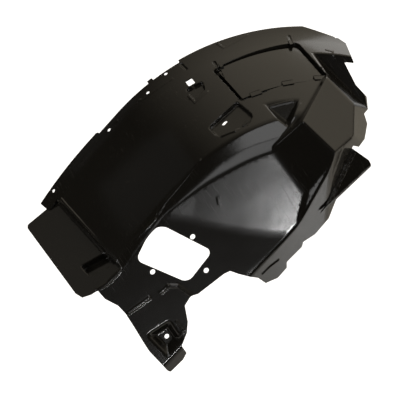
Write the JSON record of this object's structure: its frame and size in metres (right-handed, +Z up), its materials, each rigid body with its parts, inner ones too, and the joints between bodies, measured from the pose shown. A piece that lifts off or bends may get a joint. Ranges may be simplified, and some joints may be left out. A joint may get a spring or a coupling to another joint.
{
  "type": "wheel arch cover",
  "caption": "Moulded inner wheel arch cover with a side wall window, a raised box at the rear, a screw bracket and a clip-in service hatch.",
  "frame": {"origin": "middle of the bracket's screw hole, halfway through the wall", "axes": "+X along the car from the flap to the raised box, +Y along the wheel's axis from the side wall to the outboard lip, +Z up"},
  "size_m": [0.655, 0.3071, 0.5999],
  "materials": {
    "moulded_plastic": "satin black with an orange-peel sheen",
    "hatch_plastic": "satin black"
  },
  "bodies": {
    "root": {"liner_shell": "moulded_plastic", "service_hatch": "hatch_plastic"}
  },
  "joints": []
}
